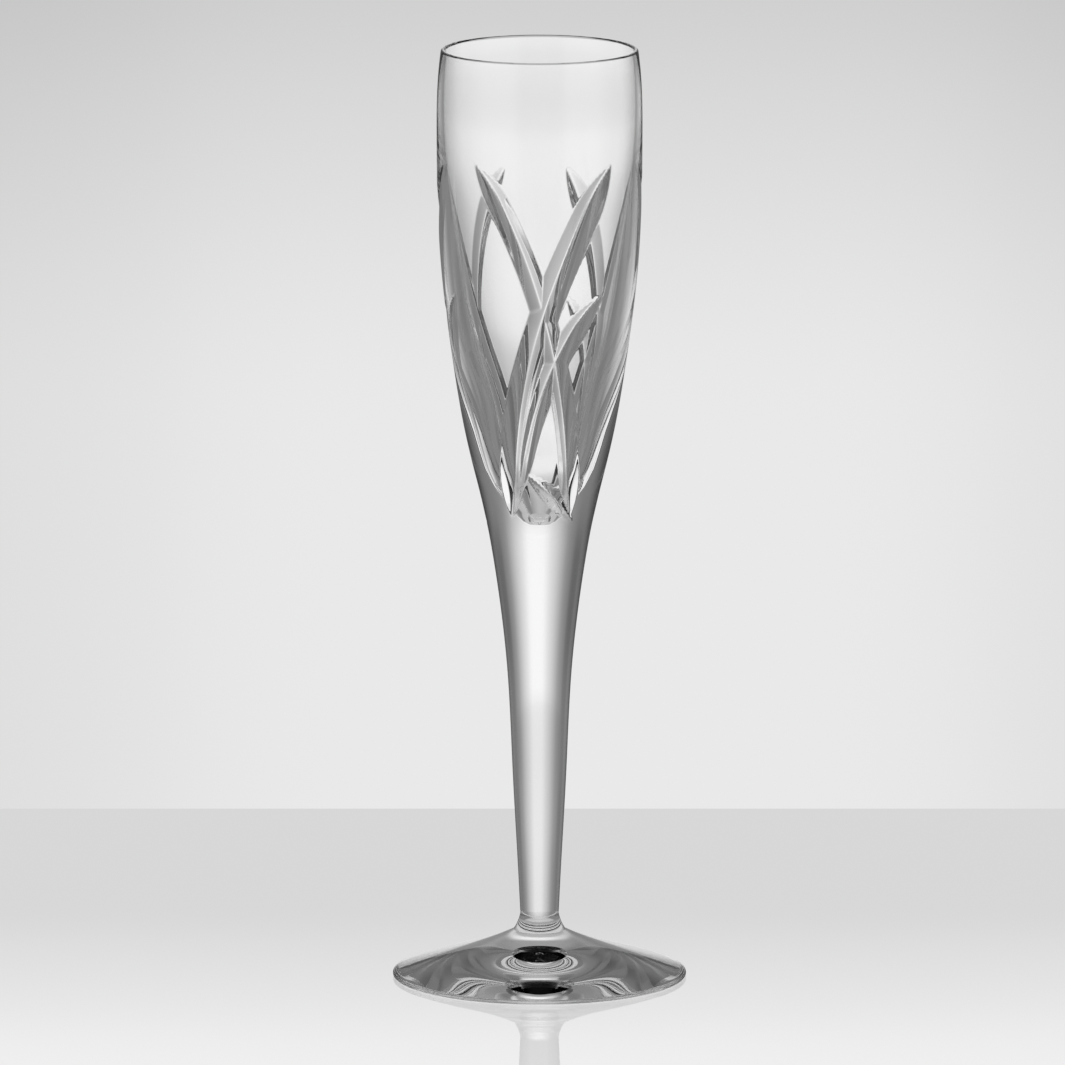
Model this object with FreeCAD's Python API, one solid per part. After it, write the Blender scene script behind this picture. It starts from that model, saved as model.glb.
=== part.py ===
import FreeCAD, Part
import math
import os

# A cut-crystal champagne flute, in millimetres, with +Z up.  The origin is the middle of the
# ring that the foot stands on.  It is worked hot from three gathers of glass, each a solid of
# its own: the foot, the solid stem drawn up from it, and the blown bowl.  Neighbours meet face
# to face at their fused seams.  The bowl carries V-shaped mitre cuts, ground in three alike
# sets round its outside.

# Foot
FOOT_RADIUS = 36.7
FOOT_EDGE = 1.0             # height of the rounded edge
RING_WIDTH = 1.0            # flat ring that the foot stands on
HOLLOW_RISE = 3.8           # height of the underside at its middle
HOLLOW_RADIUS = 15.0        # and out here
HOLLOW_HEIGHT = 2.6
BROW_RADIUS = 26.0          # the upper side, near the edge
BROW_HEIGHT = 4.5
SLOPE_RADIUS = 14.0         # and near the collar
SLOPE_HEIGHT = 8.4
COLLAR_RADIUS = 6.5         # crease where the upper side turns up into the collar
COLLAR_HEIGHT = 11.6
COLLAR_HOLLOW = 0.25        # how far the collar's side curves in
FOOT_SEAM = 15.7            # height of the seam between foot and stem

# Stem, with heights above the foot seam
NECK_RADIUS = 4.8           # at the foot seam
ANKLE_RISE = 12.3
ANKLE_RADIUS = 5.42
CALF_RISE = 36.8
CALF_RADIUS = 6.74
KNEE_RISE = 61.3
KNEE_RADIUS = 7.98
STEM_LENGTH = 88.3          # from the foot seam to the bowl seam
HIP_RADIUS = 11.2           # at the bowl seam

# Bowl, with heights above the bowl seam or below the rim
BOWL_HEIGHT = 130.0
BASE_RISE = 10.0
BASE_RADIUS = 12.95
CUP_RISE = 22.0
CUP_RADIUS = 15.75
FLARE_RISE = 34.0
FLARE_RADIUS = 18.55
CHEST_RISE = 52.0
CHEST_RADIUS = 21.6
SHOULDER_RISE = 76.0
SHOULDER_RADIUS = 24.5
BELLY_DROP = 22.0           # widest place
BELLY_RADIUS = 25.52
LIP_DROP = 6.0
LIP_RADIUS = 25.1
RIM_RADIUS = 24.5
BOWL_FLOOR = 12.0           # solid glass under the bowl's hollow
WELL_RISE = 15.5            # place that shapes the hollow's lower end
WELL_RADIUS = 4.0
CUP_WALL = 8.4              # wall of the bowl, from the cup up to the rim
FLARE_WALL = 8.0
CHEST_WALL = 6.0
SHOULDER_WALL = 4.2
BELLY_WALL = 1.8
RIM_WALL = 1.2
LIP_ROUND = 0.5             # how far the rim's rounded top stands over its two edges

# Mitre cuts.  A place on the bowl's outside is an angle round it, which is 0 at the middle of
# a set and grows to the right, and a height above the bowl seam.
SETS = 3
FIRST_SET_ANGLE = 2.5       # middle of the front set, from straight ahead
PATTERN_LEAN = 5.2          # the hand-marked pattern stands this much higher at the front
MITRE_ANGLE = 124.0         # between the two sides of a groove
WHEEL_RADIUS = 48.0         # mitre wheel, which rounds out the ends of a groove
CROSS_RISE = 61.9           # where the two long cuts of a set cross
RIGHT_DEPTH = 1.6           # of the long cut that ends on the right
LEFT_DEPTH = 2.1            # and of the one that ends on the left
LONG_TIP_ANGLE = 41.0
LONG_TIP_DROP = 29.8        # tips of the long cuts, below the rim
LONG_WAIST_RISE = 33.3
RIGHT_WAIST_ANGLE = 18.0
LEFT_WAIST_ANGLE = -20.5
LONG_END_RISE = 12.0
RIGHT_END_ANGLE = 30.0
LEFT_END_ANGLE = -32.0
SHORT_DEPTH = 1.6
SHORT_TIP_ANGLE = 37.0
SHORT_TIP_RISE = 67.4
SHORT_CROSS_ANGLE = 8.5     # where the short cut crosses the right-hand long one
SHORT_CROSS_RISE = 50.6
SHORT_WAIST_ANGLE = -8.0
SHORT_WAIST_RISE = 35.6
SHORT_END_ANGLE = -24.0
SHORT_END_RISE = 17.0
LOW_DEPTH = 1.2
LOW_TIP_ANGLE = -13.0
LOW_TIP_RISE = 22.6
LOW_END_ANGLE = 35.0
LOW_END_RISE = 10.6
CUTTER_LIFT = 0.5           # how far a cutter stands out of the glass
CUTTER_SECTIONS = 21

BOWL_SEAM = FOOT_SEAM + STEM_LENGTH
HEIGHT = BOWL_SEAM + BOWL_HEIGHT
UP = FreeCAD.Vector(0, 0, 1)
LEVEL = FreeCAD.Vector(1, 0, 0)


def spot(radius, height):
    """A point in the plane that the outlines are turned from."""
    return FreeCAD.Vector(radius, 0, height)


def inward(point, wall):
    return spot(point.x - wall, point.z)


def spline(points):
    curve = Part.BSplineCurve()
    curve.interpolate(Points=points)
    return curve


def domed(points):
    """A curve that leaves the axis level."""
    curve = Part.BSplineCurve()
    free = len(points) - 1
    curve.interpolate(Points=points, Tangents=[LEVEL] * len(points), TangentFlags=[True] + [False] * free)
    return curve


def line(start, end):
    return Part.LineSegment(start, end).toShape()


def turned(edges):
    """The solid that a closed outline makes when it is turned about the Z axis."""
    face = Part.Face(Part.Wire(edges))
    return face.revolve(FreeCAD.Vector(0, 0, 0), UP, 360)


NECK = spot(NECK_RADIUS, FOOT_SEAM)
HIP = spot(HIP_RADIUS, BOWL_SEAM)
CUP = spot(CUP_RADIUS, BOWL_SEAM + CUP_RISE)
FLARE = spot(FLARE_RADIUS, BOWL_SEAM + FLARE_RISE)
CHEST = spot(CHEST_RADIUS, BOWL_SEAM + CHEST_RISE)
SHOULDER = spot(SHOULDER_RADIUS, BOWL_SEAM + SHOULDER_RISE)
BELLY = spot(BELLY_RADIUS, HEIGHT - BELLY_DROP)
RIM = spot(RIM_RADIUS, HEIGHT - LIP_ROUND)

# The outside of stem and bowl is one smooth line from the foot seam to the rim.
SIDE = spline([
    NECK,
    spot(ANKLE_RADIUS, FOOT_SEAM + ANKLE_RISE),
    spot(CALF_RADIUS, FOOT_SEAM + CALF_RISE),
    spot(KNEE_RADIUS, FOOT_SEAM + KNEE_RISE),
    HIP,
    spot(BASE_RADIUS, BOWL_SEAM + BASE_RISE),
    CUP,
    FLARE,
    CHEST,
    SHOULDER,
    BELLY,
    spot(LIP_RADIUS, HEIGHT - LIP_DROP),
    RIM,
])


def side_between(start, end):
    return SIDE.toShape(SIDE.parameter(start), SIDE.parameter(end))


def side_point(height):
    level = Part.LineSegment(spot(0, height), spot(2 * BELLY_RADIUS, height))
    return spot(SIDE.intersectCC(level)[0].X, height)


def foot():
    """A cone with a hollow underside and a rounded edge, and a collar that takes the stem."""
    ring_outer = FOOT_RADIUS - FOOT_EDGE / 2
    ring_inner = ring_outer - RING_WIDTH
    hollow_middle = spot(0, HOLLOW_RISE)
    seam_middle = spot(0, FOOT_SEAM)
    collar = spot(COLLAR_RADIUS, COLLAR_HEIGHT)
    collar_side = inward((collar + NECK) * 0.5, COLLAR_HOLLOW)
    edge_top = spot(ring_outer, FOOT_EDGE)
    return turned([
        domed([hollow_middle, spot(HOLLOW_RADIUS, HOLLOW_HEIGHT), spot(ring_inner, 0)]).toShape(),
        line(spot(ring_inner, 0), spot(ring_outer, 0)),
        Part.Arc(spot(ring_outer, 0), spot(FOOT_RADIUS, FOOT_EDGE / 2), edge_top).toShape(),
        spline([edge_top, spot(BROW_RADIUS, BROW_HEIGHT), spot(SLOPE_RADIUS, SLOPE_HEIGHT), collar]).toShape(),
        Part.Arc(collar, collar_side, NECK).toShape(),
        line(NECK, seam_middle),
        line(seam_middle, hollow_middle),
    ])


def stem():
    """The solid stem, from the foot seam up to the bowl seam."""
    foot_middle = spot(0, FOOT_SEAM)
    bowl_middle = spot(0, BOWL_SEAM)
    return turned([
        line(foot_middle, NECK),
        side_between(NECK, HIP),
        line(HIP, bowl_middle),
        line(bowl_middle, foot_middle),
    ])


def blown_bowl():
    """The bowl before it is cut, with a thick floor and a wall that thins to a rounded lip."""
    seam_middle = spot(0, BOWL_SEAM)
    floor_middle = spot(0, BOWL_SEAM + BOWL_FLOOR)
    inner_rim = inward(RIM, RIM_WALL)
    crest = spot(RIM_RADIUS - RIM_WALL / 2, HEIGHT)
    inside = domed([
        floor_middle,
        spot(WELL_RADIUS, BOWL_SEAM + WELL_RISE),
        inward(CUP, CUP_WALL),
        inward(FLARE, FLARE_WALL),
        inward(CHEST, CHEST_WALL),
        inward(SHOULDER, SHOULDER_WALL),
        inward(BELLY, BELLY_WALL),
        inner_rim,
    ])
    return turned([
        line(seam_middle, HIP),
        side_between(HIP, RIM),
        Part.Arc(RIM, crest, inner_rim).toShape(),
        inside.toShape(),
        line(floor_middle, seam_middle),
    ])


def on_side(angle, rise):
    """A point on the bowl's outside, and the outward direction there."""
    height = BOWL_SEAM + rise
    lean = PATTERN_LEAN * side_point(height).x / BELLY_RADIUS
    height += lean * math.cos(math.radians(angle))
    point = side_point(height)
    along = SIDE.tangent(SIDE.parameter(point))[0]
    turn = FreeCAD.Rotation(UP, angle - 90)
    return turn.multVec(point), turn.multVec(spot(along.z, -along.x))


def cutter(places, depth, set_angle):
    """The V-shaped bar of glass that the wheel takes away along a line of places."""
    path = spline([FreeCAD.Vector(angle, rise, 0) for angle, rise in places])
    steps = CUTTER_SECTIONS - 1
    marks = [path.value(path.LastParameter * i / steps) for i in range(CUTTER_SECTIONS)]
    spots = [on_side(set_angle + mark.x, mark.y) for mark in marks]
    points = [point for point, outward in spots]
    walked = [0.0]
    for before, after in zip(points, points[1:]):
        walked.append(walked[-1] + (after - before).Length)
    run_out = math.sqrt(2 * WHEEL_RADIUS * depth)
    spread = math.tan(math.radians(MITRE_ANGLE / 2))
    bottoms, lefts, rights = [], [], []
    for i, (point, outward) in enumerate(spots):
        ahead = points[min(i + 1, steps)] - points[max(i - 1, 0)]
        aside = ahead.cross(outward).normalize()
        short = max(0.0, run_out - min(walked[i], walked[-1] - walked[i]))
        sunk = depth - short ** 2 / (2 * WHEEL_RADIUS)
        half_width = (sunk + CUTTER_LIFT) * spread
        top = point + outward * CUTTER_LIFT
        bottoms.append(point - outward * sunk)
        lefts.append(top - aside * half_width)
        rights.append(top + aside * half_width)
    rails = [spline(rail).toShape() for rail in (bottoms, lefts, rights)]
    faces = [Part.makeRuledSurface(rails[i], rails[i - 1]) for i in range(len(rails))]
    for end in (0, -1):
        corners = [bottoms[end], lefts[end], rights[end]]
        faces.append(Part.Face(Part.makePolygon(corners + corners[:1])))
    shell = Part.Shell(faces)
    shell.sewShape()
    bar = Part.Solid(shell)
    return bar if bar.Volume > 0 else bar.reversed()


def cut_set(set_angle):
    """Two long cuts that cross, a short one over the right-hand one, and a low one."""
    right = [(-LONG_TIP_ANGLE, BOWL_HEIGHT - LONG_TIP_DROP), (0, CROSS_RISE),
             (RIGHT_WAIST_ANGLE, LONG_WAIST_RISE), (RIGHT_END_ANGLE, LONG_END_RISE)]
    left = [(LONG_TIP_ANGLE, BOWL_HEIGHT - LONG_TIP_DROP), (0, CROSS_RISE),
            (LEFT_WAIST_ANGLE, LONG_WAIST_RISE), (LEFT_END_ANGLE, LONG_END_RISE)]
    short = [(SHORT_TIP_ANGLE, SHORT_TIP_RISE), (SHORT_CROSS_ANGLE, SHORT_CROSS_RISE),
             (SHORT_WAIST_ANGLE, SHORT_WAIST_RISE), (SHORT_END_ANGLE, SHORT_END_RISE)]
    low = [(LOW_TIP_ANGLE, LOW_TIP_RISE), (LOW_END_ANGLE, LOW_END_RISE)]
    return [
        cutter(right, RIGHT_DEPTH, set_angle),
        cutter(left, LEFT_DEPTH, set_angle),
        cutter(short, SHORT_DEPTH, set_angle),
        cutter(low, LOW_DEPTH, set_angle),
    ]


def bowl():
    """The blown bowl with its sets of mitre cuts."""
    cut = blown_bowl()
    for i in range(SETS):
        for bar in cut_set(FIRST_SET_ANGLE + 360 / SETS * i):
            cut = cut.cut(bar)
    return cut


def main():
    os.makedirs("parts", exist_ok=True)
    for name, shape in (("foot", foot()), ("stem", stem()), ("bowl", bowl())):
        shape.exportStep("parts/" + name + ".step")
        print(name, shape.isValid(), len(shape.Solids), "solids", round(shape.Volume), "mm3")


main()
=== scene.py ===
import math

import bmesh
import bpy
import numpy as np
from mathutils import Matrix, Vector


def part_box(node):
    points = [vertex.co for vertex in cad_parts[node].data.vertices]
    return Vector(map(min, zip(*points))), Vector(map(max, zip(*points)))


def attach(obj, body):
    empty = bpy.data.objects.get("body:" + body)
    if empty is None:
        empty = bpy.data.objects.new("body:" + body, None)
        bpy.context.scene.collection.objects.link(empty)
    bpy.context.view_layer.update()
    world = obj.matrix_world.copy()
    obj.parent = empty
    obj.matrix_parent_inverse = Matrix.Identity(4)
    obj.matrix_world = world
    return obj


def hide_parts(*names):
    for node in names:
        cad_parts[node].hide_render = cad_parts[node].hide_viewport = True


bl_info = {
    "name": "Cut crystal flute",
    "version": (1, 0, 0),
    "blender": (4, 5, 0),
    "location": "3D View > Sidebar > Flute",
    "description": "Models a cut crystal champagne flute and the table and studio round it",
    "category": "Object",
}

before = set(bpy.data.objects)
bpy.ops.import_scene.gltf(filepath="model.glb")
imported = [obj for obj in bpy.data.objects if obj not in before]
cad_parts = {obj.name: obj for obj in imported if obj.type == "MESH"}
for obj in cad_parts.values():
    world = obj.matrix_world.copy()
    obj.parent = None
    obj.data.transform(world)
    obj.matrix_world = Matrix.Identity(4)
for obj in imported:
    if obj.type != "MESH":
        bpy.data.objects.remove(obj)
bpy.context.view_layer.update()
FOOT_RADIUS = -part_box("foot")[0].x
FOOT_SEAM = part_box("stem")[0].z
BOWL_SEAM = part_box("bowl")[0].z
RIM_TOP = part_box("bowl")[1].z

SEGMENTS = 224              # round the foot and the stem
BOWL_SEGMENTS = 560
WEDGES = 8                  # parts that a round shape is turned in
FOOT_SPACING = 0.0005       # between the points of each outline
STEM_SPACING = 0.0006
BOWL_SPACING = 0.0009
HOLLOW_SPACING = 0.0015
SIDE_SPACING = 0.0002       # between the places where the bowl's outside is measured for the grooves
GROOVE_SPACING = 0.12       # along a groove, in degrees round and millimetres up
EDGE_STEPS = 24             # in the foot's rounded edge
COLLAR_STEPS = 12
LIP_STEPS = 10
PLAIN_BASE = 0.009          # height above the bowl seam that has no grooves
MARGIN = 0.003              # how far past its ends a groove can reach up or down
REACH = math.radians(30)    # how far round a groove's edge can be from its middle line
MERGE = 1e-6                # points nearer than this are one
ON_SIDE = 1e-5              # points nearer than this to the bowl's outside lie on it
CREASE = math.radians(13)   # two faces that meet at more than this have a sharp edge
BOUNCES = 32                # times that light is followed through the crystal


def size(name, description, default):
    return bpy.props.FloatProperty(
        name=name, description=description, default=default, unit="LENGTH", precision=5)


def angle(name, description, default):
    return bpy.props.FloatProperty(
        name=name, description=description, default=math.radians(default), subtype="ANGLE")


class FootSizes(bpy.types.PropertyGroup):
    """Heights are above the table."""
    edge: size("Edge", "Height of the rounded edge", 0.0010)
    ring_width: size("Ring width", "Flat ring that the foot stands on", 0.0010)
    hollow_rise: size("Hollow rise", "Height of the underside at its middle", 0.0038)
    hollow_radius: size("Hollow radius", "Where the underside's slope is set", 0.015)
    hollow_height: size("Hollow height", "Height of the underside there", 0.0026)
    brow_radius: size("Brow radius", "Lower place that shapes the upper side", 0.026)
    brow_height: size("Brow height", "Height of the upper side there", 0.0045)
    slope_radius: size("Slope radius", "Higher place that shapes the upper side", 0.014)
    slope_height: size("Slope height", "Height of the upper side there", 0.0084)
    collar_radius: size("Collar radius", "Crease where the collar begins", 0.0065)
    collar_height: size("Collar height", "Height of that crease", 0.0116)
    collar_hollow: size("Collar hollow", "How far the collar's side curves in", 0.00025)


class StemSizes(bpy.types.PropertyGroup):
    """Rises are above the foot seam."""
    neck_radius: size("Neck radius", "Radius at the foot seam", 0.0048)
    ankle_rise: size("Ankle rise", "Lower place that shapes the stem", 0.0123)
    ankle_radius: size("Ankle radius", "Radius there", 0.00542)
    calf_rise: size("Calf rise", "Middle place that shapes the stem", 0.0368)
    calf_radius: size("Calf radius", "Radius there", 0.00674)
    knee_rise: size("Knee rise", "Upper place that shapes the stem", 0.0613)
    knee_radius: size("Knee radius", "Radius there", 0.00798)
    hip_radius: size("Hip radius", "Radius at the bowl seam", 0.0112)


class BowlSizes(bpy.types.PropertyGroup):
    """Rises are above the bowl seam, and drops are below the rim."""
    base_rise: size("Base rise", "Lowest place that shapes the bowl", 0.010)
    base_radius: size("Base radius", "Radius there", 0.01295)
    cup_rise: size("Cup rise", "Place where the hollow widens", 0.022)
    cup_radius: size("Cup radius", "Radius there", 0.01575)
    flare_rise: size("Flare rise", "Place where the bowl opens out", 0.034)
    flare_radius: size("Flare radius", "Radius there", 0.01855)
    chest_rise: size("Chest rise", "Middle place that shapes the bowl", 0.052)
    chest_radius: size("Chest radius", "Radius there", 0.0216)
    shoulder_rise: size("Shoulder rise", "Upper place that shapes the bowl", 0.076)
    shoulder_radius: size("Shoulder radius", "Radius there", 0.0245)
    belly_drop: size("Belly drop", "Widest place", 0.022)
    belly_radius: size("Belly radius", "Radius there", 0.02552)
    lip_drop: size("Lip drop", "Place where the bowl draws in to its lip", 0.006)
    lip_radius: size("Lip radius", "Radius there", 0.0251)
    rim_radius: size("Rim radius", "Radius at the rim", 0.0245)
    floor: size("Floor", "Solid glass under the hollow", 0.012)
    well_rise: size("Well rise", "Place that shapes the hollow's lower end", 0.0155)
    well_radius: size("Well radius", "The hollow's radius there", 0.0040)
    cup_wall: size("Cup wall", "Wall at the cup", 0.0084)
    flare_wall: size("Flare wall", "Wall where the bowl opens out", 0.0080)
    chest_wall: size("Chest wall", "Wall at the chest", 0.0060)
    shoulder_wall: size("Shoulder wall", "Wall at the shoulder", 0.0042)
    belly_wall: size("Belly wall", "Wall at the belly", 0.0018)
    rim_wall: size("Rim wall", "Wall at the rim", 0.0012)
    lip_round: size("Lip round", "How far the lip's crest stands over its edges", 0.0005)


class CutSizes(bpy.types.PropertyGroup):
    """Angles are from the middle of a set, more to the right.  Rises are above the bowl seam."""
    sets: bpy.props.IntProperty(name="Sets", description="Alike sets of cuts round the bowl", default=3)
    first_set: angle("First set", "Middle of the front set, from straight ahead", 2.5)
    lean: size("Lean", "How much higher the hand-marked pattern stands at the front", 0.0052)
    mitre: angle("Mitre", "Angle between a groove's two sides", 124)
    wheel: size("Wheel", "Radius of the mitre wheel", 0.048)
    keel: size("Keel", "How near its middle a groove's sides begin to round into each other", 0.00024)
    soft: size("Soft", "How far polish has rounded the edges of the grooves", 0.00005)
    cross_rise: size("Cross rise", "Where the two long cuts cross", 0.0619)
    right_depth: size("Right depth", "Depth of the long cut that ends on the right", 0.0016)
    left_depth: size("Left depth", "Depth of the long cut that ends on the left", 0.0021)
    long_tip: angle("Long tip", "Upper ends of the long cuts", 41)
    long_tip_drop: size("Long tip drop", "Those ends, below the rim", 0.0298)
    long_waist_rise: size("Long waist rise", "Middle of the long cuts' lower parts", 0.0333)
    right_waist: angle("Right waist", "The right-hand long cut there", 18)
    left_waist: angle("Left waist", "The left-hand long cut there", -20.5)
    long_end_rise: size("Long end rise", "Lower ends of the long cuts", 0.012)
    right_end: angle("Right end", "The right-hand long cut there", 30)
    left_end: angle("Left end", "The left-hand long cut there", -32)
    short_depth: size("Short depth", "Depth of the short cut", 0.0016)
    short_tip: angle("Short tip", "Upper end of the short cut", 37)
    short_tip_rise: size("Short tip rise", "Height of that end", 0.0674)
    short_cross: angle("Short cross", "Where the short cut crosses the right-hand one", 8.5)
    short_cross_rise: size("Short cross rise", "Height of that crossing", 0.0506)
    short_waist: angle("Short waist", "Middle of the short cut's lower part", -8)
    short_waist_rise: size("Short waist rise", "Height of that middle", 0.0356)
    short_end: angle("Short end", "Lower end of the short cut", -24)
    short_end_rise: size("Short end rise", "Height of that end", 0.017)
    low_depth: size("Low depth", "Depth of the low cut", 0.0012)
    low_tip: angle("Low tip", "Upper end of the low cut", -13)
    low_tip_rise: size("Low tip rise", "Height of that end", 0.0226)
    low_end: angle("Low end", "Lower end of the low cut", 35)
    low_end_rise: size("Low end rise", "Height of that end", 0.0106)


class StudioSettings(bpy.types.PropertyGroup):
    ior: bpy.props.FloatProperty(name="IOR", description="Refractive index of the crystal", default=1.54)
    table_reach: size("Table reach", "From the glass to each side of the table", 0.208)
    table_thickness: size("Table thickness", "The white table's whole height", 0.4)
    table_gap: size("Table gap", "Keeps the table top clear of the foot", 0.0002)
    ring_inside: size("Ring inside", "The crystal shows the table top from this far out", 0.0345)
    ring_outside: size("Ring outside", "And up to this far out", 0.042)
    walls_turn: angle("Walls turn", "How far the lit walls stand to the right", 3.0)
    pool_turn: angle("Pool turn", "How far the pool of light stands to the right", 0.2)
    camera_distance: size("Camera distance", "From the glass, level", 3.5623)
    camera_height: size("Camera height", "Above the table", 0.7682)
    camera_tilt: angle("Camera tilt", "Below level", 10.432)
    camera_aside: size("Camera aside", "To the left of the glass", 0.00175)
    lens: bpy.props.FloatProperty(name="Lens", description="Focal length", default=491.8, unit="CAMERA")


def end_slope(marks, points):
    """The slope at the first mark of the curve through these points."""
    return np.polyfit(marks - marks[0], points, len(marks) - 1)[-2]


def smooth_line(points, spacing, level=False):
    """Points about this far apart on the smooth curve through given ones, level at its start if asked."""
    given = np.array(points)
    gaps = np.linalg.norm(np.diff(given, axis=0), axis=1)
    marks = np.concatenate([[0], np.cumsum(gaps)])
    rises = np.diff(given, axis=0) / gaps[:, None]
    terms = np.eye(len(given))
    sides = np.zeros_like(given)
    sides[0] = end_slope(marks[:4], given[:4])
    sides[-1] = end_slope(marks[:-5:-1], given[:-5:-1])
    if level:
        sides[0] = np.abs(end_slope(marks[:3], given[:3])).sum(), 0
    for i in range(1, len(given) - 1):
        before, after = gaps[i - 1:i + 1]
        terms[i, i - 1:i + 2] = after, 2 * (before + after), before
        sides[i] = 3 * (after * rises[i - 1] + before * rises[i])
    slopes = np.linalg.solve(terms, sides)
    curve = []
    for i, gap in enumerate(gaps):
        steps = max(1, round(gap / spacing))
        for t in np.arange(steps) / steps:
            start_bend = slopes[i] - rises[i]
            end_bend = slopes[i + 1] - rises[i]
            bend = (1 - t) * start_bend - t * end_bend
            curve.append(given[i] + t * gap * (rises[i] + (1 - t) * bend))
    return curve + [given[-1]]


def arc(start, middle, end, steps):
    """Points after start on the arc through three points."""
    (ax, ay), (bx, by), (cx, cy) = start, middle, end
    d = 2 * (ax * (by - cy) + bx * (cy - ay) + cx * (ay - by))
    squares = [x * x + y * y for x, y in (start, middle, end)]
    ox = (squares[0] * (by - cy) + squares[1] * (cy - ay) + squares[2] * (ay - by)) / d
    oy = (squares[0] * (cx - bx) + squares[1] * (ax - cx) + squares[2] * (bx - ax)) / d
    first = math.atan2(ay - oy, ax - ox)
    halfway = (math.atan2(by - oy, bx - ox) - first) % (2 * math.pi)
    turn = (math.atan2(cy - oy, cx - ox) - first) % (2 * math.pi)
    if halfway > turn:
        turn -= 2 * math.pi
    radius = math.hypot(ax - ox, ay - oy)
    return [(ox + radius * math.cos(first + turn * i / steps),
             oy + radius * math.sin(first + turn * i / steps)) for i in range(1, steps + 1)]


def turned(outline, segments):
    """A closed shape made by turning an outline, which starts and ends on the axis."""
    bm = bmesh.new()
    verts = [bm.verts.new((radius, 0, height)) for radius, height in outline]
    edges = [bm.edges.new(pair) for pair in zip(verts, verts[1:])]
    wedge = 2 * math.pi / WEDGES
    bmesh.ops.spin(bm, geom=verts + edges, cent=(0, 0, 0), axis=(0, 0, 1), dvec=(0, 0, 0),
                   angle=wedge, steps=segments // WEDGES)
    bmesh.ops.spin(bm, geom=bm.verts[:] + bm.edges[:] + bm.faces[:], cent=(0, 0, 0), axis=(0, 0, 1),
                   dvec=(0, 0, 0), angle=2 * math.pi - wedge, steps=WEDGES - 1, use_duplicate=True)
    bmesh.ops.remove_doubles(bm, verts=bm.verts, dist=MERGE)
    bmesh.ops.recalc_face_normals(bm, faces=bm.faces)
    if bm.calc_volume(signed=True) < 0:
        bmesh.ops.reverse_faces(bm, faces=bm.faces)
    return bm


def thinned(points, low, high):
    """Every point between two heights, and every third one above and below them."""
    return [point for i, point in enumerate(points)
            if low < point[1] < high or i % 3 == 0 or i == len(points) - 1]


def finished(name, bm, seams):
    """The mesh as an object in crystal, with its fused seams clear, in place of the CAD node."""
    mesh = bpy.data.meshes.new(name)
    bm.to_mesh(mesh)
    bm.free()
    piece = bpy.data.objects.new(name, mesh)
    bpy.context.scene.collection.objects.link(piece)
    mesh.materials.append(crystal())
    mesh.materials.append(fused_seam())
    mark_seams(mesh, seams)
    piece.visible_shadow = False
    piece.visible_diffuse = False
    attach(piece, "root")
    return piece


def mark_seams(mesh, seams):
    """Gives the fused seams their material, and shades the rest smooth but for its creases."""
    for face in mesh.polygons:
        face.material_index = int(any(
            all(abs(mesh.vertices[v].co.z - seam) < MERGE for v in face.vertices) for seam in seams))
    mesh.shade_smooth()
    mesh.set_sharp_from_angle(angle=CREASE)


# Materials

class Nodes:
    """Short ways to write a node tree that works on numbers."""

    def __init__(self, tree):
        self.tree = tree
        tree.nodes.clear()

    def node(self, kind, *values, **settings):
        node = self.tree.nodes.new(kind)
        for name, value in settings.items():
            setattr(node, name, value)
        for socket, value in zip(node.inputs, values):
            self.fill(socket, value)
        return node

    def fill(self, socket, value):
        if isinstance(value, bpy.types.NodeSocket):
            self.tree.links.new(value, socket)
        else:
            socket.default_value = value

    def math(self, operation, *values):
        return self.node("ShaderNodeMath", *values, operation=operation).outputs[0]

    def mix(self, share, start, end):
        return self.node("ShaderNodeMix", share, (0.5, 0.5, 0.5), start, end).outputs[0]

    def ramp(self, value, start, end):
        """From 0 at the start to 1 at the end, with soft ends."""
        node = self.node("ShaderNodeMapRange", value, start, end, interpolation_type="SMOOTHSTEP")
        return node.outputs[0]

    def curve(self, value, start, end, places):
        """A curve through places from start to end."""
        share = self.node("ShaderNodeMapRange", value, start, end).outputs[0]
        node = self.node("ShaderNodeFloatCurve", 1.0, share)
        points = node.mapping.curves[0].points
        for at, height in places[2:]:
            points.new((at - start) / (end - start), height)
        for point, (at, height) in zip(points, places):
            point.location = (at - start) / (end - start), height
            point.handle_type = "AUTO_CLAMPED"
        node.mapping.update()
        return node.outputs[0]


def nodes_of(name):
    """The material of this name, with nodes to fill if it is new."""
    material = bpy.data.materials.get(name)
    if material:
        return material, None
    material = bpy.data.materials.new(name)
    material.use_nodes = True
    return material, Nodes(material.node_tree)


def crystal():
    material, nodes = nodes_of("polished crystal")
    if nodes:
        ior = bpy.context.scene.flute_studio.ior
        glass = nodes.node("ShaderNodeBsdfGlass", (1, 1, 1, 1), 0.0, ior)
        nodes.node("ShaderNodeOutputMaterial", glass.outputs[0])
    return material


def fused_seam():
    material, nodes = nodes_of("fused seam")
    if nodes:
        nodes.node("ShaderNodeOutputMaterial", nodes.node("ShaderNodeBsdfTransparent").outputs[0])
    return material


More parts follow.
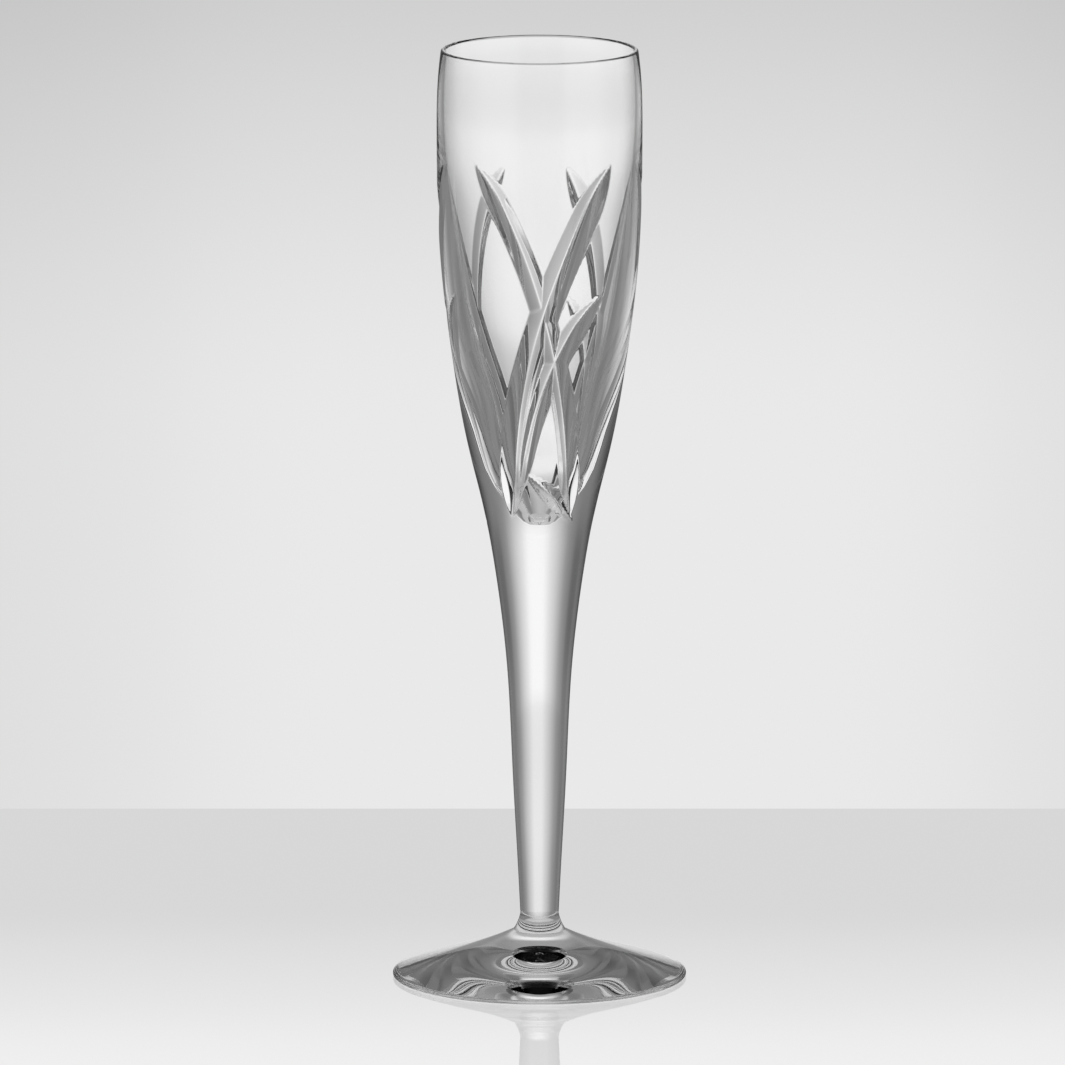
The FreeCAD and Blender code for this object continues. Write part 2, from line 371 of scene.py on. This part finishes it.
def pale_table():
    material, nodes = nodes_of("pale table")
    if nodes:
        studio = bpy.context.scene.flute_studio
        reach = studio.table_reach
        where = nodes.node("ShaderNodeTexCoord").outputs["Object"]
        x, y, z = nodes.node("ShaderNodeSeparateXYZ", where).outputs

        # Gloss white with painted shade: the base colour is brightest at the front and greyer towards the
        # back, standing in for how the light falls across the table
        painted_shade = nodes.curve(y, -reach, reach, [
            (-reach, 1.0), (-0.095, 0.99), (-0.03, 0.88), (0.03, 0.78), (0.08, 0.7), (reach, 0.69)])
        white_with_painted_shade = nodes.node("ShaderNodeCombineColor", painted_shade, painted_shade, painted_shade).outputs[0]
        shader = nodes.node("ShaderNodeBsdfPrincipled")
        nodes.fill(shader.inputs["Base Color"], white_with_painted_shade)
        shader.inputs["Roughness"].default_value = 0.03
        shader.inputs["IOR"].default_value = 1.49

        # The crystal shows only a ring of the table top, just round the foot
        squares = nodes.math("ADD", nodes.math("POWER", x, 2.0), nodes.math("POWER", y, 2.0))
        spread = nodes.math("SQRT", squares)
        outside = nodes.math("GREATER_THAN", spread, studio.ring_inside)
        inside = nodes.math("LESS_THAN", spread, studio.ring_outside)
        top = nodes.math("GREATER_THAN", z, -5 * studio.table_gap)
        shown = nodes.math("MULTIPLY", nodes.math("MULTIPLY", outside, inside), top)
        hidden = nodes.math("SUBTRACT", 1.0, shown)
        path = nodes.node("ShaderNodeLightPath")
        clear = nodes.math("MULTIPLY", hidden, path.outputs["Is Transmission Ray"])
        see_through = nodes.node("ShaderNodeBsdfTransparent").outputs[0]
        surface = nodes.node("ShaderNodeMixShader", clear, shader.outputs[0], see_through)
        nodes.node("ShaderNodeOutputMaterial", surface.outputs[0])
    return material


# Outlines

def stem_places():
    stem = bpy.context.scene.flute_stem
    return [
        (stem.neck_radius, FOOT_SEAM),
        (stem.ankle_radius, FOOT_SEAM + stem.ankle_rise),
        (stem.calf_radius, FOOT_SEAM + stem.calf_rise),
        (stem.knee_radius, FOOT_SEAM + stem.knee_rise),
        (stem.hip_radius, BOWL_SEAM),
    ]


def bowl_places():
    bowl = bpy.context.scene.flute_bowl
    return [
        (bowl.base_radius, BOWL_SEAM + bowl.base_rise),
        (bowl.cup_radius, BOWL_SEAM + bowl.cup_rise),
        (bowl.flare_radius, BOWL_SEAM + bowl.flare_rise),
        (bowl.chest_radius, BOWL_SEAM + bowl.chest_rise),
        (bowl.shoulder_radius, BOWL_SEAM + bowl.shoulder_rise),
        (bowl.belly_radius, RIM_TOP - bowl.belly_drop),
        (bowl.lip_radius, RIM_TOP - bowl.lip_drop),
        (bowl.rim_radius, RIM_TOP - bowl.lip_round),
    ]


def side_line(spacing):
    """The outside of stem and bowl, in one smooth line."""
    return smooth_line(stem_places() + bowl_places(), spacing)


class FLUTE_OT_foot(bpy.types.Operator):
    """Model the foot with its collar"""
    bl_idname = "flute.foot"
    bl_label = "Foot"

    def execute(self, context):
        foot = context.scene.flute_foot
        ring_outer = FOOT_RADIUS - foot.edge / 2
        ring_inner = ring_outer - foot.ring_width
        neck = (context.scene.flute_stem.neck_radius, FOOT_SEAM)
        collar = (foot.collar_radius, foot.collar_height)
        collar_side = ((collar[0] + neck[0]) / 2 - foot.collar_hollow, (collar[1] + neck[1]) / 2)
        edge_top = (ring_outer, foot.edge)
        outline = smooth_line([(0, foot.hollow_rise), (foot.hollow_radius, foot.hollow_height),
                               (ring_inner, 0)], FOOT_SPACING, level=True)
        outline += [(ring_outer, 0)]
        outline += arc((ring_outer, 0), (FOOT_RADIUS, foot.edge / 2), edge_top, EDGE_STEPS)
        outline += smooth_line([edge_top, (foot.brow_radius, foot.brow_height),
                                (foot.slope_radius, foot.slope_height), collar], FOOT_SPACING)[1:]
        outline += arc(collar, collar_side, neck, COLLAR_STEPS)
        outline += [(0, FOOT_SEAM)]
        piece = finished("crystal_foot", turned(outline, SEGMENTS), [FOOT_SEAM])
        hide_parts("foot")
        return {"FINISHED"}


class FLUTE_OT_stem(bpy.types.Operator):
    """Model the solid stem"""
    bl_idname = "flute.stem"
    bl_label = "Stem"

    def execute(self, context):
        side = [point for point in side_line(STEM_SPACING) if point[1] < BOWL_SEAM + MERGE]
        outline = [(0, FOOT_SEAM)] + side + [(0, BOWL_SEAM)]
        piece = finished("crystal_stem", turned(outline, SEGMENTS), [FOOT_SEAM, BOWL_SEAM])
        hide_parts("stem")
        return {"FINISHED"}


class FLUTE_OT_bowl(bpy.types.Operator):
    """Model the blown bowl and cut its mitre grooves"""
    bl_idname = "flute.bowl"
    bl_label = "Bowl"

    def execute(self, context):
        bowl = context.scene.flute_bowl
        side = [point for point in side_line(BOWL_SPACING) if point[1] > BOWL_SEAM - MERGE]
        rim = (bowl.rim_radius, RIM_TOP - bowl.lip_round)
        inner_rim = (rim[0] - bowl.rim_wall, rim[1])
        inside = smooth_line([
            (0, BOWL_SEAM + bowl.floor),
            (bowl.well_radius, BOWL_SEAM + bowl.well_rise),
            (bowl.cup_radius - bowl.cup_wall, BOWL_SEAM + bowl.cup_rise),
            (bowl.flare_radius - bowl.flare_wall, BOWL_SEAM + bowl.flare_rise),
            (bowl.chest_radius - bowl.chest_wall, BOWL_SEAM + bowl.chest_rise),
            (bowl.shoulder_radius - bowl.shoulder_wall, BOWL_SEAM + bowl.shoulder_rise),
            (bowl.belly_radius - bowl.belly_wall, RIM_TOP - bowl.belly_drop),
            inner_rim,
        ], HOLLOW_SPACING, level=True)
        outline = [(0, BOWL_SEAM)] + thinned(side, BOWL_SEAM + PLAIN_BASE, RIM_TOP - bowl.belly_drop)
        outline += arc(rim, (rim[0] - bowl.rim_wall / 2, RIM_TOP), inner_rim, LIP_STEPS)
        outline += thinned(inside, 0, BOWL_SEAM + bowl.cup_rise)[-2::-1]
        bm = turned(outline, BOWL_SEGMENTS)
        facing = dict(grind(bm))
        piece = finished("crystal_bowl", bm, [BOWL_SEAM])
        normals = [facing.get(loop.vertex_index, (0, 0, 0)) for loop in piece.data.loops]
        piece.data.normals_split_custom_set(normals)
        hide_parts("bowl")
        return {"FINISHED"}


# Mitre cuts

def unit(vectors):
    return vectors / np.linalg.norm(vectors, axis=-1, keepdims=True)


class Side:
    """The bowl's outside, as places and outward directions for angles and heights."""

    def __init__(self):
        points = np.array([point for point in side_line(SIDE_SPACING) if point[1] > FOOT_SEAM])
        self.heights = points[:, 1]
        self.radii = points[:, 0]
        self.slopes = np.gradient(self.radii, self.heights)

    def radius(self, height):
        return np.interp(height, self.heights, self.radii)

    def outward(self, turn, height):
        slope = np.interp(height, self.heights, self.slopes)
        return unit(np.stack([np.sin(turn), -np.cos(turn), -slope], axis=-1))

    def grooved(self, places):
        """Whether places are at the heights that the grooves take up."""
        cuts = bpy.context.scene.flute_cuts
        low = BOWL_SEAM + cuts.low_end_rise - cuts.lean - MARGIN
        high = RIM_TOP - cuts.long_tip_drop + cuts.lean + MARGIN
        return (places[:, 2] > low) & (places[:, 2] < high)

    def at(self, turn, rise):
        height = BOWL_SEAM + rise
        lean = bpy.context.scene.flute_cuts.lean / bpy.context.scene.flute_bowl.belly_radius
        height = height + lean * self.radius(height) * np.cos(turn)
        radius = self.radius(height)
        place = np.stack([np.sin(turn) * radius, -np.cos(turn) * radius, height], axis=-1)
        return place, self.outward(turn, height)


class Groove:
    """One mitre cut along a line of places, which runs out at both ends as the wheel leaves the glass."""

    def __init__(self, side, places, depth, set_turn):
        cuts = bpy.context.scene.flute_cuts
        degree = math.radians(1)
        chart = smooth_line([(turn / degree, rise * 1000) for turn, rise in places], GROOVE_SPACING)
        chart = np.array(chart)
        self.points, self.outward = side.at(set_turn + chart[:, 0] * degree, chart[:, 1] / 1000)
        self.ahead = unit(np.gradient(self.points, axis=0))
        self.ahead[[0, -1]] = 0
        steps = np.linalg.norm(np.diff(self.points, axis=0), axis=1)
        walked = np.concatenate([[0], np.cumsum(steps)])
        run_out = math.sqrt(2 * cuts.wheel * depth)
        short = np.clip(run_out - np.minimum(walked, walked[-1] - walked), 0, None)
        self.sunk = depth - short ** 2 / (2 * cuts.wheel)
        self.rate = np.gradient(self.sunk, walked)
        round_way = unit(self.points[:, :2])
        self.middle = unit(round_way[0] + round_way[-1])
        self.spread = np.arccos(np.clip(round_way @ self.middle, -1, 1)).max() + REACH

    def bite(self, places, outward):
        """How far the groove is sunk below places on the blown bowl, and how that grows across it."""
        cuts = bpy.context.scene.flute_cuts
        steepness = 1 / math.tan(cuts.mitre / 2)
        own = (self.points ** 2).sum(axis=1)
        near = np.concatenate([(own - 2 * block @ self.points.T).argmin(axis=1)
                               for block in np.array_split(places, 50)])
        gap = places - self.points[near]
        below = -(gap * self.outward[near]).sum(axis=1)
        aside = gap + self.outward[near] * below[:, None]
        aside -= self.ahead[near] * (aside * self.ahead[near]).sum(axis=1)[:, None]
        sideways = np.hypot(np.linalg.norm(aside, axis=1), cuts.keel)
        slope = self.ahead[near] * self.rate[near, None] - aside * (steepness / sideways)[:, None]
        slope += self.outward[near]
        slope -= outward * (slope * outward).sum(axis=1)[:, None]
        return self.sunk[near] - (sideways - cuts.keel) * steepness - below, slope


def grooves(side):
    cuts = bpy.context.scene.flute_cuts
    tip = RIM_TOP - BOWL_SEAM - cuts.long_tip_drop
    right = [(-cuts.long_tip, tip), (0, cuts.cross_rise),
             (cuts.right_waist, cuts.long_waist_rise), (cuts.right_end, cuts.long_end_rise)]
    left = [(cuts.long_tip, tip), (0, cuts.cross_rise),
            (cuts.left_waist, cuts.long_waist_rise), (cuts.left_end, cuts.long_end_rise)]
    short = [(cuts.short_tip, cuts.short_tip_rise), (cuts.short_cross, cuts.short_cross_rise),
             (cuts.short_waist, cuts.short_waist_rise), (cuts.short_end, cuts.short_end_rise)]
    low = [(cuts.low_tip, cuts.low_tip_rise), (cuts.low_end, cuts.low_end_rise)]
    made = []
    for i in range(cuts.sets):
        turn = cuts.first_set + 2 * math.pi / cuts.sets * i
        for places, depth in ((right, cuts.right_depth), (left, cuts.left_depth),
                              (short, cuts.short_depth), (low, cuts.low_depth)):
            made.append(Groove(side, places, depth, turn))
    return made


def grind(bm):
    """Sink the grooves into the bowl's outside, split its faces along them, and give the way it faces."""
    soft = bpy.context.scene.flute_cuts.soft
    side = Side()
    outside = [vert for vert in bm.verts if vert.co.z > BOWL_SEAM + MERGE
               and abs(math.hypot(vert.co.x, vert.co.y) - side.radius(vert.co.z)) < ON_SIDE]
    places = np.array([vert.co for vert in outside])
    outward = side.outward(np.arctan2(places[:, 0], -places[:, 1]), places[:, 2])
    swell = np.zeros(len(places))
    slope = np.zeros_like(places)
    reach = side.grooved(places)
    for groove in grooves(side):
        near = reach & (np.arccos(np.clip(unit(places[:, :2]) @ groove.middle, -1, 1)) < groove.spread)
        bite, growth = groove.bite(places[near], outward[near])
        share = np.exp(np.clip(bite / soft, -40, None))
        swell[near] += share
        slope[near] += growth * share[:, None]
    depths = soft * np.log1p(swell)
    facing = unit(outward + slope / (1 + swell)[:, None])
    sunk = {}
    for vert, depth, place in zip(outside, depths, places - outward * depths[:, None]):
        vert.co = place
        sunk[vert] = depth
    along = {"FIXED": [], "ALTERNATE": []}
    for face in bm.faces:
        if len(face.verts) == 4 and all(vert in sunk for vert in face.verts):
            a, b, c, d = [sunk[vert] for vert in face.verts]
            along["FIXED" if abs(a - c) < abs(b - d) else "ALTERNATE"].append(face)
    for method, faces in along.items():
        bmesh.ops.triangulate(bm, faces=faces, quad_method=method)
    bm.verts.index_update()
    return [(vert.index, tuple(normal)) for vert, normal in zip(outside, facing)]


# Stage

class FLUTE_OT_stage(bpy.types.Operator):
    """Set the table, the studio light and the camera"""
    bl_idname = "flute.stage"
    bl_label = "Stage"

    def execute(self, context):
        make_table()
        make_world()
        make_camera()
        context.scene.view_settings.view_transform = "Standard"
        context.scene.cycles.max_bounces = BOUNCES
        context.scene.cycles.transmission_bounces = BOUNCES
        context.scene.cycles.glossy_bounces = BOUNCES // 2
        return {"FINISHED"}


def make_table():
    studio = bpy.context.scene.flute_studio
    width = 2 * studio.table_reach
    bm = bmesh.new()
    bmesh.ops.create_cube(bm, size=1)
    bmesh.ops.scale(bm, vec=(width, width, studio.table_thickness), verts=bm.verts)
    middle = -studio.table_thickness / 2 - studio.table_gap
    bmesh.ops.translate(bm, vec=(0, 0, middle), verts=bm.verts)
    mesh = bpy.data.meshes.new("table")
    bm.to_mesh(mesh)
    bm.free()
    table = bpy.data.objects.new("table", mesh)
    bpy.context.scene.collection.objects.link(table)
    mesh.materials.append(pale_table())
    table.visible_glossy = False


def degrees_from(nodes, azimuth, middle):
    """How many degrees round from a middle, to either side."""
    return nodes.math("ABSOLUTE", nodes.math("SUBTRACT", azimuth, math.degrees(middle)))


def backdrop(nodes, off):
    """A lit backdrop behind the glass, dim walls at the sides and darkness behind the camera."""
    return nodes.curve(off, 0, 180, [
        (0, 1.0), (5, 0.99), (8, 0.94), (12, 0.82), (18, 0.66), (25, 0.46), (30, 0.34), (37, 0.26),
        (43, 0.19), (50, 0.18), (58, 0.22), (66, 0.22), (75, 0.16), (84, 0.13), (94, 0.17), (108, 0.32),
        (142, 0.36), (152, 0.15), (160, 0.01), (180, 0.004)])


def surroundings(nodes, wall, off, height):
    """The backdrop, dimmer above the table's level, with a grey band over it and black overhead."""
    dimmer = nodes.math("MULTIPLY", nodes.math("SUBTRACT", wall, 0.08), 1.087)
    dimmer = nodes.math("MAXIMUM", dimmer, nodes.math("MULTIPLY", wall, 0.5))
    band = nodes.curve(off, 0, 180, [
        (0, 0.34), (15, 0.34), (25, 0.26), (35, 0.22), (50, 0.18), (62, 0.12), (75, 0.07), (95, 0.1),
        (180, 0.1)])
    room = nodes.mix(nodes.ramp(height, -8.0, 0.0), wall, dimmer)
    room = nodes.mix(nodes.ramp(height, 1.0, 12.0), room, band)
    room = nodes.mix(nodes.ramp(height, 24.0, 34.0), room, 0.004)
    near = nodes.curve(height, -60, 0, [
        (-60, 0.5), (-42, 0.5), (-28, 0.55), (-18, 0.74), (-13, 0.98), (-11.8, 0.97), (-10.9, 0.92),
        (-10.2, 0.89), (-9.2, 0.83), (-8.6, 0.84), (-8, 0.86), (-7.4, 0.95), (-6.5, 1.0), (0, 1.0)])
    sides = nodes.math("MINIMUM", room, 0.22)
    return nodes.math("MAXIMUM", nodes.math("MULTIPLY", room, near), sides)


def with_table_top(nodes, room, azimuth, height):
    """The surroundings with the white table top below, which the crystal shows in place of the table."""
    facing = nodes.math("POWER", nodes.math("COSINE", nodes.math("RADIANS", azimuth)), 2.0)
    edge = nodes.math("MULTIPLY_ADD", facing, 12.0, -54.0)
    depth = nodes.math("SUBTRACT", edge, height)
    top = nodes.math("ADD", 0.5, nodes.math("MULTIPLY", nodes.ramp(depth, 0, 50), 0.2))
    return nodes.mix(nodes.ramp(depth, -4.0, 4.0), room, top)


def pool_of_light(nodes, wall, off, aside, height):
    """What the camera sees of the backdrop itself: a pool of light, which fades into the side walls."""
    rise = nodes.curve(height, -12, -8, [
        (-12, 0.815), (-10.3, 0.815), (-9.9, 0.812), (-9.5, 0.783), (-9.1, 0.737), (-8.7, 0.686),
        (-8.35, 0.636), (-8, 0.6)])
    fall = nodes.curve(aside, 0, 20, [
        (0, 1.0), (1, 0.998), (1.4, 0.98), (1.8, 0.94), (2.35, 0.905), (4, 0.85), (10, 0.72), (20, 0.65)])
    walls = nodes.math("MAXIMUM", wall, 0.24)
    return nodes.mix(nodes.ramp(off, 15.0, 60.0), nodes.math("MULTIPLY", rise, fall), walls)


def mirrored_backdrop(nodes, aside):
    """What the table top and the outside of the crystal mirror: the foot of the same backdrop."""
    return nodes.curve(aside, 0, 60, [
        (0, 0.81), (3, 0.81), (4.7, 0.6), (7, 0.23), (11, 0.13), (30, 0.15), (60, 0.4)])


def make_world():
    """The studio, by degrees round from straight behind the glass and degrees above level."""
    studio = bpy.context.scene.flute_studio
    world = bpy.data.worlds.new("studio")
    bpy.context.scene.world = world
    world.use_nodes = True
    world.cycles.sampling_method = "NONE"
    nodes = Nodes(world.node_tree)
    where = nodes.node("ShaderNodeTexCoord").outputs["Generated"]
    x, y, z = nodes.node("ShaderNodeSeparateXYZ", where).outputs
    azimuth = nodes.math("DEGREES", nodes.math("ARCTAN2", x, y))
    height = nodes.math("DEGREES", nodes.math("ARCSINE", z))
    off = degrees_from(nodes, azimuth, studio.walls_turn)
    aside = degrees_from(nodes, azimuth, studio.pool_turn)

    wall = backdrop(nodes, off)
    room = surroundings(nodes, wall, off, height)
    seen = with_table_top(nodes, room, azimuth, height)
    pool = pool_of_light(nodes, wall, off, aside, height)
    mirrored = mirrored_backdrop(nodes, aside)

    # A first mirroring at a low height shows the mirrored backdrop, and every other one what is seen
    path = nodes.node("ShaderNodeLightPath")
    low = nodes.math("SUBTRACT", 1.0, nodes.ramp(height, 14.0, 24.0))
    first = nodes.math("LESS_THAN", path.outputs["Ray Depth"], 2.5)
    glossy = nodes.math("MULTIPLY", nodes.math("MULTIPLY", path.outputs["Is Glossy Ray"], first), low)
    shown = nodes.mix(glossy, nodes.mix(path.outputs["Is Camera Ray"], seen, pool), mirrored)
    light = nodes.mix(path.outputs["Is Diffuse Ray"], shown, 0.89)
    back = nodes.node("ShaderNodeBackground", light)
    nodes.node("ShaderNodeOutputWorld", back.outputs[0])


def make_camera():
    studio = bpy.context.scene.flute_studio
    data = bpy.data.cameras.new("camera")
    data.lens = studio.lens
    data.sensor_width = 36
    data.clip_start = 0.1
    data.clip_end = 50
    camera = bpy.data.objects.new("camera", data)
    bpy.context.scene.collection.objects.link(camera)
    camera.location = (-studio.camera_aside, -studio.camera_distance, studio.camera_height)
    camera.rotation_euler = (math.pi / 2 - studio.camera_tilt, 0, 0)
    bpy.context.scene.camera = camera


class FLUTE_PT_panel(bpy.types.Panel):
    """Operators that build the glass and its stage"""
    bl_label = "Cut crystal flute"
    bl_idname = "FLUTE_PT_panel"
    bl_space_type = "VIEW_3D"
    bl_region_type = "UI"
    bl_category = "Flute"

    def draw(self, context):
        for operator in OPERATORS:
            self.layout.operator(operator.bl_idname)


GROUPS = {
    "flute_foot": FootSizes,
    "flute_stem": StemSizes,
    "flute_bowl": BowlSizes,
    "flute_cuts": CutSizes,
    "flute_studio": StudioSettings,
}
OPERATORS = [FLUTE_OT_foot, FLUTE_OT_stem, FLUTE_OT_bowl, FLUTE_OT_stage]


def register():
    for group in GROUPS.values():
        bpy.utils.register_class(group)
    for name, group in GROUPS.items():
        setattr(bpy.types.Scene, name, bpy.props.PointerProperty(type=group))
    for operator in OPERATORS:
        bpy.utils.register_class(operator)
    bpy.utils.register_class(FLUTE_PT_panel)


def unregister():
    bpy.utils.unregister_class(FLUTE_PT_panel)
    for operator in OPERATORS:
        bpy.utils.unregister_class(operator)
    for name, group in GROUPS.items():
        delattr(bpy.types.Scene, name)
        bpy.utils.unregister_class(group)


def main():
    register()
    bpy.ops.flute.foot()
    bpy.ops.flute.stem()
    bpy.ops.flute.bowl()
    bpy.ops.flute.stage()


if __name__ == "__main__":
    main()
